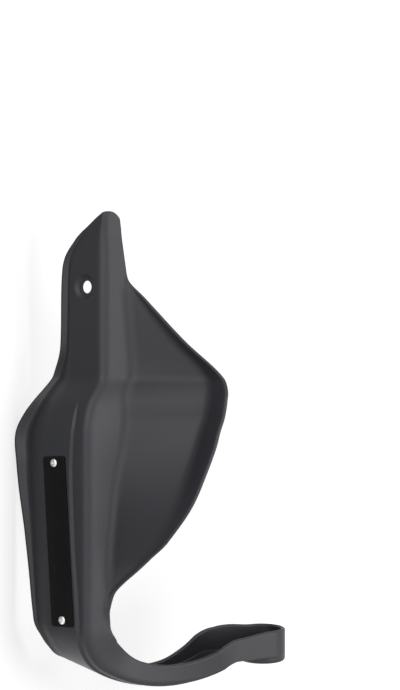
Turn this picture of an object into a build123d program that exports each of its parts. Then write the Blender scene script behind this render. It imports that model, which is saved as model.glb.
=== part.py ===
from build123d import *
import math
import os

os.makedirs("parts", exist_ok=True)

# A left-hand motorcycle hand guard, as mounted: X runs outward along the handlebar, Y rearward
# to the rider and Z up. The origin is the bar-end bolt's axis on the outer face of its boss.
# One moulded shell carries a blank badge plate held by two blind rivets. All sizes are in mm.

# Shell
wall = 3.0
reach = 155.0  # bar-end axis back from the beam's front face
drop = 53.0  # spine of the beam below the bar-end axis
neck_setback = 18.0  # neck face behind the beam face
neck_face = 29.5  # height of the flat face at the neck
beam_face = 39.5  # height of the front face where the beam is tallest
nose_face = 9.5  # height of the face at the neck's tip
nose_lift = 2.0  # rise of the shelf at the tip
arm_width = 34.0  # height of the arm's channel, outside
arm_flange = 17.5  # depth of the arm's channel, outside
neck_flank = 2.0  # lower flank below the face
beam_flank = 26.0
bend_flank = 18.5
low_flange = 8.5  # lower flange where the arm leaves the bend
neck_lip = 3.2  # flared lip along the lower edge
beam_lip = 7.7
bend_lip = 2.0
arm_lip = 3.5
neck_shelf = 15.6  # sloping shelf above the face
beam_shelf = 29.3
bend_shelf = 14.0
arm_shelf = 10.4
blade_height = 58.0  # deflector blade above the shelf
rim_height = 17.8  # upright rim of the blade
edge_strip = 2.0  # rounded strip left of the blade and of its rim where they run out
band_rise = 1.5  # front band proud of the strip above it
web_draft = 5.2  # lean of the arm's web in the bend
flank_lean = 72.0  # degrees below level
lip_flare = 135.0  # degrees forward and down
shelf_lean = 20.0  # degrees above level
blade_lean = 62.0
blade_lean_out = 82.0
rim_lean = 91.0

# Outline of the neck's nose, seen from the front
nose_slant = 52.0  # degrees from level of its lower edge
nose_low = 17.0  # upright end of the nose, above the spine
nose_high = 26.0
nose_low_round = 10.0
nose_high_round = 5.0
nose_corner_round = 9.0  # rear corner of the nose's shelf, seen from above
nose_trim = 0.5
nose_length = 45.0

# Runs along the shell, from the start of the bend: less than 0 towards the neck's tip
tip_run = -282.0
neck_run = -241.0
blade_run = -236.0
shoulder_run = -180.0
shoulder_length = 47.0
peak_run = -152.0
crest_run = -108.0
blade_end_run = -24.0
bend_run = 42.0  # the arm has taken over from the beam
channel_run = 75.0  # the section is a plain channel from here
station_count = 43

# Bend and arm: radius and turn of each plan arc, then a climb to the bar end
bend_radius = 40.0
bend_turn = 60.0
arm_radius = 105.0
arm_turn = 54.0
ear_radius = 25.0
rise_start = 15.0
rise_ease = 60.0

# Soft corners of the section, from the lip to the blade's rim
corner_softness = (4.0, 4.0, 0.7, 0.7, 6.0, 9.0, 7.0)
ear_softness = 1.0  # both corners of the bar-end ear's web

# Bar-end boss and bolt hole
bar_boss_radius = 16.8
bar_boss_height = 4.8
bar_bolt_radius = 4.2
bar_boss_edge = 1.0

# Neck bolt
neck_bolt_run = -230.0
neck_bolt_up = 1.0
neck_bolt_radius = 4.3
neck_sink_radius = 6.6  # floor of the dished sink
neck_sink_flare = 45.0  # degrees out from the bolt's axis
neck_sink_depth = 2.2
neck_floor = 1.5
neck_boss_radius = 10.5

# Badge plate and rivets
plate_length = 115.0
plate_width = 20.0
plate_thickness = 1.2
plate_corner = 1.6
plate_run = -56.5
plate_up = -6.3
plate_tilt = 4.1
seat_depth = 0.5
seat_clearance = 0.3
rivet_spacing = 106.6
rivet_shank_radius = 1.6
rivet_clearance = 0.1
rivet_head_radius = 2.95
rivet_head_height = 1.3
rivet_bulb_radius = 2.5
rivet_bulb_length = 3.0
rivet_bore_radius = 0.8
rivet_bore_depth = 1.1

arm_arcs = ((bend_radius, bend_turn), (arm_radius, arm_turn), (ear_radius, 90.0 - bend_turn - arm_turn))
arc_run = sum(radius * abs(math.radians(turn)) for radius, turn in arm_arcs)


def shoulder(share):
    """Run at a share of the way across the shoulder, from the neck to the beam."""
    return shoulder_run + share * shoulder_length


# Each graph gives one section size, or one angle in degrees, along the run
section_graphs = {
    "face": (
        (tip_run, nose_face), (tip_run + 16, 0.53 * neck_face), (tip_run + 30, 0.93 * neck_face),
        (neck_run, neck_face), (shoulder(0), 1.03 * neck_face), (shoulder(0.8), 1.07 * neck_face),
        (crest_run, beam_face), (0.55 * crest_run, 0.92 * beam_face), (0, 0.96 * arm_width),
        (1.5 * bend_run, arm_width),
    ),
    "flank": (
        (neck_run, neck_flank), (shoulder(-0.2), 2 * neck_flank), (shoulder(0.17), 0.37 * beam_flank),
        (shoulder(0.53), 0.64 * beam_flank), (shoulder(0.9), beam_flank),
        (shoulder(1.13), 0.97 * beam_flank), (crest_run, bend_flank), (0.75 * blade_end_run, bend_flank),
        (0.25 * bend_run, 0.8 * bend_flank), (0.6 * bend_run, 0.7 * bend_flank),
        (0.95 * bend_run, 0.75 * low_flange), (channel_run, low_flange - arm_lip),
        (arc_run - 43, low_flange - arm_lip), (arc_run - 22, 0.88 * low_flange),
        (arc_run, arm_flange - arm_lip),
    ),
    "flank_angle": (
        (shoulder(-0.17), 0.86 * flank_lean), (shoulder(0.36), flank_lean),
        (0.75 * blade_end_run, 0.98 * flank_lean), (0.3 * bend_run, 0.91 * flank_lean),
        (0.6 * bend_run, 0.94 * flank_lean), (0.95 * bend_run, 0.98 * flank_lean), (channel_run, 0),
    ),
    "lip": (
        (tip_run, 0.6 * neck_lip), (tip_run + 16, 1.3 * neck_lip), (neck_run, neck_lip),
        (shoulder(0.15), 1.14 * neck_lip), (shoulder(1.06), beam_lip), (0.9 * crest_run, 0.8 * beam_lip),
        (0.75 * blade_end_run, bend_lip), (1.5 * bend_run, arm_lip),
    ),
    "lip_angle": ((blade_end_run, -lip_flare), (0.9 * bend_run, -0.6 * lip_flare), (channel_run, 0)),
    "shelf": (
        (tip_run, 0.62 * neck_shelf), (tip_run + 20, 0.79 * neck_shelf), (neck_run, neck_shelf),
        (blade_run + 16, 1.2 * neck_shelf), (shoulder(0), 1.45 * neck_shelf),
        (shoulder(0.36), 1.48 * neck_shelf), (shoulder(0.94), beam_shelf),
        (0.9 * crest_run, 0.77 * beam_shelf), (0.63 * crest_run, 0.67 * beam_shelf),
        (blade_end_run, 1.14 * bend_shelf), (0.45 * blade_end_run, 0.9 * bend_shelf),
        (0, bend_shelf), (0.7 * bend_run, 1.16 * bend_shelf), (1.1 * bend_run, 1.09 * bend_shelf),
        (channel_run, arm_shelf), (arc_run - 30, arm_shelf),
        (arc_run, arm_flange - 2 * edge_strip),
    ),
    "shelf_angle": (
        (shoulder(0), 1.2 * shelf_lean), (shoulder(1), shelf_lean), (0.5 * bend_run, shelf_lean),
        (channel_run, 0),
    ),
    "blade": (
        (blade_run, 0.5 * edge_strip), (blade_run + 15, 0.17 * blade_height),
        (blade_run + 43, 0.53 * blade_height), (blade_run + 66, 0.89 * blade_height),
        (peak_run - 4, blade_height), (peak_run + 22, 0.92 * blade_height),
        (0.8 * crest_run, 0.84 * blade_height), (blade_end_run - 35, 0.69 * blade_height),
        (blade_end_run - 22, 0.43 * blade_height), (blade_end_run, 1.6 * edge_strip),
        (blade_end_run + 11, edge_strip),
    ),
    "rim": (
        (blade_run, 0.5 * edge_strip), (blade_run + 29, 0.29 * rim_height),
        (shoulder(0), 0.57 * rim_height), (peak_run - 6, 0.9 * rim_height), (peak_run + 22, rim_height),
        (crest_run - 10, rim_height), (0.8 * crest_run, 0.76 * rim_height),
        (blade_end_run - 35, 0.33 * rim_height), (blade_end_run - 12, 1.6 * edge_strip),
        (blade_end_run + 2, edge_strip),
    ),
    "blade_angle": (
        (blade_run - 4, 1.2 * shelf_lean), (blade_run + 14, blade_lean), (crest_run - 20, blade_lean),
        (2 * blade_end_run, blade_lean_out), (blade_end_run, blade_lean), (0, shelf_lean),
        (0.5 * bend_run, shelf_lean), (channel_run, 0),
    ),
    "rim_angle": (
        (blade_run - 4, 1.2 * shelf_lean), (blade_run + 14, rim_lean), (blade_end_run - 6, rim_lean),
        (0, shelf_lean), (0.5 * bend_run, shelf_lean), (channel_run, 0),
    ),
    "step": ((shoulder(0.36), 0), (shoulder(0.9), band_rise), (bend_run, band_rise), (2.5 * bend_run, 0)),
    "band": (
        (tip_run, 0.4), (neck_run, 0.5), (shoulder(0.15), 0.58), (shoulder(1), 0.65),
        (0.52 * crest_run, 0.68), (0, 0.78),
    ),
    "draft": (
        (0, 0), (0.45 * bend_run, 0.7 * web_draft), (1.25 * bend_run, web_draft), (2.75 * bend_run, 0),
    ),
    "nose": ((tip_run, nose_lift), (tip_run + 20, 0)),
    "setback": (
        (shoulder(0.19), neck_setback), (shoulder(0.29), 0.96 * neck_setback),
        (shoulder(0.43), 0.68 * neck_setback), (shoulder(0.6), 0.345 * neck_setback),
        (shoulder(0.79), 0.13 * neck_setback), (shoulder(1.1), 0),
    ),
}


def graph(knots, run):
    """Smooth value through (run, value) knots: cubic pieces, level at both ends."""
    if run <= knots[0][0]:
        return knots[0][1]
    if run >= knots[-1][0]:
        return knots[-1][1]
    slopes = [0.0]
    for before, after in zip(knots, knots[2:]):
        slopes.append((after[1] - before[1]) / (after[0] - before[0]))
    slopes.append(0.0)
    index = max(i for i, knot in enumerate(knots) if knot[0] <= run)
    (start, low), (end, high) = knots[index:index + 2]
    span = end - start
    t = (run - start) / span
    ends = (1 + 2 * t) * (1 - t) ** 2 * low + t * t * (3 - 2 * t) * high
    return ends + span * (t * (1 - t) ** 2 * slopes[index] + t * t * (t - 1) * slopes[index + 1])


def walk_arcs(run):
    """Plan offset from the start of the bend, and the heading, after a run along the arcs."""
    x, y, heading = 0.0, 0.0, 0.0
    for radius, turn in arm_arcs:
        signed_radius = math.copysign(radius, turn)
        span = min(run, radius * abs(math.radians(turn)))
        end = heading + span / signed_radius
        x += signed_radius * (math.sin(end) - math.sin(heading))
        y += signed_radius * (math.cos(heading) - math.cos(end))
        heading = end
        run -= span
    return x + run * math.cos(heading), y + run * math.sin(heading), heading


def climb_run(run):
    """Run counted for the climb: eased in from the rise's start, then one for one."""
    past = max(run - rise_start, 0.0)
    return past * past / (2 * rise_ease) if past < rise_ease else past - rise_ease / 2


arc_x, arc_y, arc_heading = walk_arcs(arc_run)
bend_x = -bar_boss_height - arc_x
ear_length = reach - arc_y
ear_run = arc_run + ear_length
climb = drop / climb_run(ear_run)


def section_plane(run):
    """Plane across the shell: its x axis points inward from the web and its y axis up."""
    x, y, heading = walk_arcs(max(run, 0.0))
    pitch = math.atan(climb * min(max(run - rise_start, 0.0) / rise_ease, 1.0))
    setback = graph(section_graphs["setback"], run)
    return Plane(
        origin=(bend_x + x + min(run, 0.0), y - reach + setback, climb * climb_run(run) - drop),
        x_dir=(-math.sin(heading), math.cos(heading), 0),
        z_dir=(math.cos(heading) * math.cos(pitch), math.sin(heading) * math.cos(pitch), math.sin(pitch)),
    )


def polar(length, degrees):
    return Vector(length * math.cos(math.radians(degrees)), length * math.sin(math.radians(degrees)))


def section_corners(run):
    """Outer corners of the section, from the lip's edge over the face and shelf to the rim's edge."""
    size = {name: graph(knots, run) for name, knots in section_graphs.items()}
    top = arm_width / 2 + size["nose"]
    low = top - size["face"]
    band_top = low + size["band"] * size["face"]
    step = size["step"]
    face_low = Vector(size["draft"], low)
    flank_low = face_low + polar(size["flank"], -size["flank_angle"])
    lip_edge = flank_low + polar(size["lip"], size["lip_angle"])
    shelf_back = Vector(step, top) + polar(size["shelf"], size["shelf_angle"])
    blade_top = shelf_back + polar(size["blade"], size["blade_angle"])
    rim_edge = blade_top + polar(size["rim"], size["rim_angle"])
    step_foot = Vector(step, band_top + band_rise)
    return [lip_edge, flank_low, face_low, Vector(0, band_top), step_foot, Vector(step, top),
            shelf_back, blade_top, rim_edge]


def inner_corners(corners):
    """The same corners moved inward by the wall, mitred where the section turns."""
    ways = [(end - start).normalized() for start, end in zip(corners, corners[1:])]
    normals = [Vector(way.Y, -way.X) for way in ways]
    pairs = zip([normals[0]] + normals, normals + [normals[-1]])
    return [corner + (a + b) * (wall / (1 + a.dot(b))) for corner, (a, b) in zip(corners, pairs)]


def soft_line(corners, softness):
    """Straight runs joined by soft corners, which take at most 45% of a run."""
    start = corners[0]
    for before, corner, after, size in zip(corners, corners[1:], corners[2:], softness):
        back, ahead = before - corner, after - corner
        entry = corner + back.normalized() * min(size, 0.45 * back.length)
        leave = corner + ahead.normalized() * min(size, 0.45 * ahead.length)
        Line(start, entry)
        Bezier(entry, corner, leave)
        start = leave
    Line(start, corners[-1])


def round_edge(outer, inner, way):
    """Half round over a free edge of the wall."""
    ThreePointArc(outer, (outer + inner) * 0.5 + way * (wall / 2), inner)


def softness_at(run):
    """Soft corners at a run: those beside the web sharpen along the arm to the ear."""
    sizes = list(corner_softness)
    for corner in (1, 4):
        sizes[corner] = graph(((channel_run, sizes[corner]), (arc_run, ear_softness)), run)
    return sizes


def shell_section(run):
    """The wall's closed section at a run."""
    outer = section_corners(run)
    inner = inner_corners(outer)
    softness = softness_at(run)
    soft_line(outer, softness)
    round_edge(outer[-1], inner[-1], (outer[-1] - outer[-2]).normalized())
    soft_line(inner[::-1], softness[::-1])
    round_edge(inner[0], outer[0], (outer[0] - outer[1]).normalized())


nose_x = bend_x + tip_run + nose_trim
nose_back = section_corners(tip_run)[-1].X + 0.75 * wall
nose_plane = Plane(origin=(nose_x, 0, -drop), x_dir=(1, 0, 0), z_dir=(0, -1, 0))
nose_corner_plane = Plane(origin=(nose_x, neck_setback - reach + nose_back, -drop))
nose_foot = (nose_length, nose_low - nose_length * math.tan(math.radians(nose_slant)))
stations = [tip_run + (arc_run - tip_run) * i / (station_count - 1) for i in range(station_count)]
ear_plane = section_plane(ear_run)
ear_pitch = math.atan(climb)
boss_plane = Plane(origin=(0, 0, 0), x_dir=(0, 1, 0), z_dir=(1, 0, 0))
neck_bolt_plane = Plane(
    origin=(bend_x + neck_bolt_run, neck_setback - reach, neck_bolt_up - drop),
    x_dir=(1, 0, 0),
    z_dir=(0, -1, 0),
)
tilt = math.radians(plate_tilt)
seat_plane = Plane(
    origin=(bend_x + plate_run, seat_depth - reach, plate_up - drop),
    x_dir=(math.cos(tilt), 0, math.sin(tilt)),
    z_dir=(0, -1, 0),
)
rivet_places = [(-rivet_spacing / 2, 0), (rivet_spacing / 2, 0)]

with BuildPart() as guard_shell:
    # Neck, beam with its blade, bend and arm
    for station in stations:
        with BuildSketch(section_plane(station)):
            with BuildLine():
                shell_section(station)
            make_face()
    loft()
    # Slanted, rounded nose of the neck
    with BuildSketch(nose_plane):
        with Locations((0, nose_high)):
            Rectangle(2 * nose_length, 2 * nose_length, align=(Align.CENTER, Align.MAX))
        with BuildLine():
            FilletPolyline(
                nose_foot, (0, nose_low), (0, nose_high), (nose_length, nose_high),
                radius=(nose_low_round, nose_high_round),
            )
            Line((nose_length, nose_high), nose_foot)
        make_face(mode=Mode.SUBTRACT)
    extrude(amount=reach, mode=Mode.SUBTRACT)
    with BuildSketch(nose_corner_plane):
        with BuildLine():
            CenterArc((nose_corner_round, -nose_corner_round), nose_corner_round, 90, 90)
            Polyline(
                (0, -nose_corner_round), (-wall, -nose_corner_round), (-wall, wall),
                (nose_corner_round, wall), (nose_corner_round, 0),
            )
        make_face()
    extrude(amount=nose_length, mode=Mode.SUBTRACT)
    # Straight walls of the bar-end ear
    with BuildSketch(section_plane(arc_run)):
        with BuildLine():
            shell_section(arc_run)
        make_face()
    extrude(amount=ear_length / math.cos(ear_pitch))
    # Round end of the ear: the upper half of the channel turned about the bolt
    with BuildSketch(ear_plane):
        with BuildLine():
            shell_section(ear_run)
        make_face()
        Rectangle(4 * arm_flange, arm_width, align=(Align.CENTER, Align.MIN), mode=Mode.INTERSECT)
    revolve(axis=Axis(ear_plane.origin, ear_plane.x_dir), revolution_arc=180)
    # Bar-end boss, hollowed from inside to keep the wall even
    with BuildSketch(boss_plane.offset(-bar_boss_height - wall / 2)):
        Circle(bar_boss_radius)
    extrude(amount=bar_boss_height + wall / 2)
    fillet(guard_shell.faces().filter_by(Axis.X).sort_by(Axis.X)[-1].edges(), bar_boss_edge)
    with BuildSketch(boss_plane.offset(-wall)):
        Circle(bar_boss_radius - wall)
    extrude(amount=-bar_boss_height, mode=Mode.SUBTRACT)
    with BuildSketch(boss_plane):
        Circle(bar_bolt_radius)
    extrude(amount=-bar_boss_height - 2 * wall, mode=Mode.SUBTRACT)
    # Neck bolt: boss behind the face, sink and hole
    with BuildSketch(neck_bolt_plane.offset(-wall / 2)):
        Circle(neck_boss_radius)
    extrude(amount=wall / 2 - neck_sink_depth - neck_floor)
    with BuildSketch(neck_bolt_plane.offset(-neck_sink_depth)):
        Circle(neck_sink_radius)
    extrude(amount=neck_sink_depth + wall / 2, taper=-neck_sink_flare, mode=Mode.SUBTRACT)
    with BuildSketch(neck_bolt_plane):
        Circle(neck_bolt_radius)
    extrude(amount=-neck_sink_depth - neck_floor - wall, mode=Mode.SUBTRACT)
    # Flat seat for the plate, and the rivet holes
    with BuildSketch(seat_plane):
        RectangleRounded(
            plate_length + 2 * seat_clearance,
            plate_width + 2 * seat_clearance,
            plate_corner + seat_clearance,
        )
    extrude(amount=wall, mode=Mode.SUBTRACT)
    with BuildSketch(seat_plane):
        with Locations(*rivet_places):
            Circle(rivet_shank_radius + rivet_clearance)
    extrude(amount=-2 * wall, mode=Mode.SUBTRACT)

with BuildPart() as badge_plate:
    with BuildSketch(seat_plane):
        RectangleRounded(plate_length, plate_width, plate_corner)
        with Locations(*rivet_places):
            Circle(rivet_shank_radius + rivet_clearance, mode=Mode.SUBTRACT)
    extrude(amount=plate_thickness)

grip = plate_thickness + wall - seat_depth
with BuildPart() as plate_rivets:
    for place, _ in rivet_places:
        head_plane = Plane(
            origin=seat_plane.from_local_coords((place, 0, plate_thickness)),
            x_dir=seat_plane.x_dir,
            z_dir=seat_plane.y_dir,
        )
        with BuildSketch(head_plane):
            with BuildLine():
                # Half section: x out from the rivet's axis, y from the head's seat to the blind side
                dome = rivet_head_height
                tail = grip + rivet_clearance
                Polyline(
                    (rivet_bore_radius, -dome), (rivet_bore_radius, rivet_bore_depth - dome),
                    (0, rivet_bore_depth - dome), (0, tail + rivet_bulb_length),
                    (0.4 * rivet_bulb_radius, tail + rivet_bulb_length),
                    (rivet_bulb_radius, tail + 0.6 * rivet_bulb_length), (rivet_bulb_radius, tail),
                    (rivet_shank_radius, tail), (rivet_shank_radius, 0), (rivet_head_radius, 0),
                )
                ThreePointArc(
                    (rivet_head_radius, 0),
                    (0.8 * rivet_head_radius, -0.62 * dome),
                    (rivet_bore_radius, -dome),
                )
            make_face()
        revolve(axis=Axis(head_plane.origin, head_plane.y_dir))

guard_shell.part.label = "guard_shell"
badge_plate.part.label = "badge_plate"
plate_rivets.part.label = "plate_rivets"
export_step(guard_shell.part, "parts/guard_shell.step")
export_step(badge_plate.part, "parts/badge_plate.step")
export_step(plate_rivets.part, "parts/plate_rivets.step")
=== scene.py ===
"""Looks of a left-hand motorcycle hand guard, built around its packed CAD frame.

X runs outward along the handlebar, Y rearward to the rider and Z up, in metres. The origin is the
bar-end bolt's axis on the outer face of its boss. Each surface is a numpy grid of two parameters.
"""
import math
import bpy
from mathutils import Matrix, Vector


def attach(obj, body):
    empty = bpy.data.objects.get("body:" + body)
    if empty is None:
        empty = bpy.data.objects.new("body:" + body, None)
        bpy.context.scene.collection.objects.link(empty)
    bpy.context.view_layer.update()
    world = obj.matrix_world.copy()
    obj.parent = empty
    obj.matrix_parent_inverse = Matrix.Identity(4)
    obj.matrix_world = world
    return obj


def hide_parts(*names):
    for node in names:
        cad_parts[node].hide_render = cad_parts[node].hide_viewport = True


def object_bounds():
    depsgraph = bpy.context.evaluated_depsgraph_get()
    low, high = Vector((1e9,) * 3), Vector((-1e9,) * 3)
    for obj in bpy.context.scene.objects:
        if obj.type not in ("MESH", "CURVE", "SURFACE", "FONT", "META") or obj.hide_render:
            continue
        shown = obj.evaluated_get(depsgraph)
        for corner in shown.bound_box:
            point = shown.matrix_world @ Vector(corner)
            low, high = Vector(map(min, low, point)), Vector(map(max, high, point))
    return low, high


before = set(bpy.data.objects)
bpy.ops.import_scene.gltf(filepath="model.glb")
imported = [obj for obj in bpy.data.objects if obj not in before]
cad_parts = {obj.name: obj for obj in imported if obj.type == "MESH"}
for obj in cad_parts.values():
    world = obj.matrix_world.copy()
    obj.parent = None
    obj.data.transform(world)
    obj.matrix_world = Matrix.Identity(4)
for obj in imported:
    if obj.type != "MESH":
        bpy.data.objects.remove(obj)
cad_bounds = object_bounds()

from types import SimpleNamespace

import bmesh
import bpy
import numpy as np
from bpy.props import FloatProperty, FloatVectorProperty, PointerProperty
from mathutils import Matrix, Vector

bl_info = {
    "name": "Motorcycle hand guard",
    "version": (1, 0, 0),
    "blender": (4, 5, 0),
    "location": "3D Viewport > Sidebar > Hand guard",
    "description": "Builds a moulded hand guard with its blank plate and rivets, in a studio",
    "category": "Object",
}

MM = 0.001
WELD = 2e-6  # points of two grids closer than this are one
SOFT_SHARE = 0.45  # most of a straight run that a soft corner may take
SHARP_TURN = math.radians(38)  # edges that turn more than this stay crisp
CORNER_STEPS = 5  # steps around a soft corner of a turned part
FLOOR_REACH = 4.0  # floor from its middle to each side
FLOOR_POINTS = 9  # grid points along a side of the floor
WHITE = 1, 1, 1, 1


def length(label, text, mm):
    return FloatProperty(name=label, description=text, default=mm * MM, unit="LENGTH", precision=4)


def angle(label, text, degrees):
    return FloatProperty(name=label, description=text, default=math.radians(degrees), subtype="ANGLE")


def share(label, text, value):
    return FloatProperty(name=label, description=text, default=value, min=0, max=1, subtype="FACTOR")


def colour(label, text, value):
    return FloatVectorProperty(name=label, description=text, default=value, size=3, min=0, max=1,
                               subtype="COLOR")


class ShellSizes(bpy.types.PropertyGroup):
    """Wall section of the moulded shell, and the outline of its nose."""
    wall: length("Wall", "Thickness of the moulding", 3)
    reach: length("Reach", "Bar-end axis back from the beam's front face", 155)
    drop: length("Drop", "Spine of the beam below the bar-end axis", 53)
    neck_setback: length("Neck setback", "Neck face behind the beam face", 18)
    neck_face: length("Neck face", "Height of the flat face at the neck", 29.5)
    beam_face: length("Beam face", "Height of the front face where the beam is tallest", 39.5)
    nose_face: length("Nose face", "Height of the face at the neck's tip", 9.5)
    nose_lift: length("Nose lift", "Rise of the shelf at the tip", 2)
    arm_width: length("Arm width", "Height of the arm's channel", 34)
    arm_flange: length("Arm flange", "Depth of the arm's channel at the bar end", 17.5)
    neck_flank: length("Neck flank", "Lower flank at the neck", 2)
    beam_flank: length("Beam flank", "Lower flank at the shoulder", 26)
    bend_flank: length("Bend flank", "Lower flank along the beam", 18.5)
    low_flange: length("Low flange", "Lower flange where the arm leaves the bend", 8.5)
    neck_lip: length("Neck lip", "Flared lip at the neck", 3.2)
    beam_lip: length("Beam lip", "Flared lip at the shoulder", 7.7)
    bend_lip: length("Bend lip", "Flared lip before the bend", 2)
    arm_lip: length("Arm lip", "Last strip of the arm's lower flange", 3.5)
    neck_shelf: length("Neck shelf", "Sloping shelf at the neck", 15.6)
    beam_shelf: length("Beam shelf", "Sloping shelf at the shoulder", 29.3)
    bend_shelf: length("Bend shelf", "Sloping shelf at the bend", 14)
    arm_shelf: length("Arm shelf", "Upper flange of the arm", 10.4)
    blade_height: length("Blade height", "Deflector blade above the shelf", 58)
    rim_height: length("Rim height", "Upright rim of the blade", 17.8)
    edge_strip: length("Edge strip", "Strip left where the blade and its rim run out", 2)
    band_rise: length("Band rise", "Front band proud of the strip above it", 1.5)
    web_draft: length("Web draft", "Lean of the arm's web in the bend", 5.2)
    flank_lean: angle("Flank lean", "Flank below level", 72)
    lip_flare: angle("Lip flare", "Lip turned forward and down", 135)
    shelf_lean: angle("Shelf lean", "Shelf above level", 20)
    blade_lean: angle("Blade lean", "Blade above level", 62)
    blade_lean_out: angle("Outer blade lean", "Blade above level where it comes down to the bend", 82)
    rim_lean: angle("Rim lean", "Rim above level", 91)
    nose_slant: angle("Nose slant", "Lower edge of the nose from level, seen from the front", 54.5)
    nose_low: length("Nose low", "Lower end of the upright nose above the spine", 17)
    nose_high: length("Nose high", "Upper end of the upright nose above the spine", 26)
    nose_low_round: length("Nose low round", "Round between the upright and the slanted edge", 10)
    nose_high_round: length("Nose high round", "Round at the top of the nose", 5)
    nose_corner_round: length("Nose corner round", "Rear corner of the nose's shelf, from above", 9)
    nose_trim: length("Nose trim", "Nose back from the tip of the run", 0.5)
    nose_length: length("Nose length", "Run within which the nose ends", 45)
    lip_softness: length("Lip softness", "Soft corner between lip and flank", 4)
    face_softness: length("Face softness", "Soft corner below the face", 4)
    step_softness: length("Step softness", "Soft corners of the band's step", 0.65)
    shelf_softness: length("Shelf softness", "Soft corner between face and shelf", 6)
    blade_softness: length("Blade softness", "Soft corner between shelf and blade", 5)
    rim_softness: length("Rim softness", "Soft corner between blade and rim", 4)
    ear_softness: length("Ear softness", "Both soft corners of the bar-end ear", 0.4)


class ShellRun(bpy.types.PropertyGroup):
    """Places along the line that carries the section: 0 starts the bend, less is towards the neck."""
    tip_run: length("Tip", "Tip of the neck", -282.9)
    neck_run: length("Neck", "Full section of the neck", -241)
    blade_run: length("Blade start", "Where the blade grows out of the shelf", -236)
    shoulder_run: length("Shoulder", "Start of the step forward from neck to beam", -180)
    shoulder_length: length("Shoulder length", "Length of that step", 47)
    peak_run: length("Peak", "Highest place of the blade", -152)
    crest_run: length("Crest", "Tallest place of the front face", -108)
    blade_end_run: length("Blade end", "Where the blade ends above the bend", -24)
    bend_run: length("Bend end", "Where the arm has taken over from the beam", 42)
    bend_radius: length("Bend radius", "Plan radius of the bend", 40)
    bend_turn: angle("Bend turn", "Turn of the bend", 60)
    arm_radius: length("Arm radius", "Plan radius of the arm", 104.6)
    arm_turn: angle("Arm turn", "Turn of the arm", 54)
    ear_radius: length("Ear radius", "Plan radius back to the bar end", 25)
    rise_start: length("Rise start", "Where the arm starts to climb", 15)
    rise_ease: length("Rise ease", "Run over which the climb begins", 60)
    channel_run: length("Channel", "The section is a plain channel from here", 75)
    nose_fade: length("Nose fade", "Run over which the nose's slant dies out", 80)


class BoltSizes(bpy.types.PropertyGroup):
    """Bar-end boss and neck bolt."""
    boss_radius: length("Boss radius", "Bar-end boss", 16.95)
    boss_height: length("Boss height", "Bar-end boss above the arm's web", 4.8)
    boss_edge: length("Boss edge", "Round of the boss's edge", 2.5)
    bar_radius: length("Bar bolt", "Radius of the bar-end bolt hole", 4.2)
    neck_along: length("Neck bolt run", "Place of the neck bolt along the run", -230)
    neck_up: length("Neck bolt height", "Neck bolt above the spine", 1)
    neck_radius: length("Neck bolt", "Radius of the neck bolt hole", 4.3)
    sink_radius: length("Sink radius", "Floor of the dished sink for the bolt's head", 6.6)
    sink_flare: angle("Sink flare", "Slope of the sink's wall out from its axis", 45)
    sink_depth: length("Sink depth", "Depth of the sink", 2.2)
    sink_floor: length("Sink floor", "Wall left under the sink", 1.5)
    neck_boss_radius: length("Neck boss", "Radius of the boss behind the neck", 10.5)
    hole_edge: length("Hole edge", "Soft edge of the holes", 0.35)


class PlateSizes(bpy.types.PropertyGroup):
    """Blank badge plate, its seat and its two rivets."""
    size: length("Length", "Length of the plate", 115)
    width: length("Width", "Width of the plate", 20)
    thickness: length("Thickness", "Thickness of the plate", 1.2)
    corner: length("Corner", "Corner radius of the plate", 1.6)
    edge: length("Edge", "Soft edge of the plate", 0.25)
    along: length("Along", "Middle of the plate along the run", -56.5)
    up: length("Up", "Middle of the plate above the spine", -6.3)
    tilt: angle("Tilt", "Plate's long side above level", 4.1)
    seat_depth: length("Seat depth", "Seat below the front face", 0.5)
    seat_gap: length("Seat gap", "Clearance around the plate", 0.3)
    spacing: length("Rivet spacing", "Between the two rivets", 106.6)
    shank_radius: length("Shank", "Radius of the rivet's shank", 1.6)
    clearance: length("Clearance", "Rivet in its hole", 0.1)
    head_radius: length("Head radius", "Radius of the rivet's head", 2.95)
    head_height: length("Head height", "Height of the domed head", 1.3)
    bulb_radius: length("Bulb radius", "Blind side of the rivet", 2.5)
    bulb_length: length("Bulb length", "Blind side of the rivet", 3)
    bore_radius: length("Bore radius", "Hollow in the head", 0.8)
    bore_depth: length("Bore depth", "Depth of that hollow", 1.1)


class Finish(bpy.types.PropertyGroup):
    """Colours and surface of the three materials and the floor."""
    plastic: colour("Plastic", "Charcoal moulding", (0.024, 0.0245, 0.031))
    plastic_light: colour("Plastic, light", "Lighter grains of the moulding", (0.032, 0.0325, 0.040))
    plastic_roughness: share("Plastic roughness", "Satin surface of the moulding", 0.46)
    plastic_ior: FloatProperty(name="Plastic IOR", description="Gloss of the moulding", default=1.5)
    grain: length("Grain", "Size of the moulded grain", 0.45)
    plate: colour("Plate", "Black plate", (0.009, 0.009, 0.0095))
    plate_roughness: share("Plate roughness", "Surface of the plate", 0.38)
    plate_ior: FloatProperty(name="Plate IOR", description="Low: a matt film", default=1.2)
    rivet: colour("Rivet", "Bright aluminium", (0.86, 0.86, 0.85))
    rivet_roughness: share("Rivet roughness", "Surface of the rivets", 0.3)
    floor: colour("Floor", "Pale floor", (0.8, 0.8, 0.8))


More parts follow.
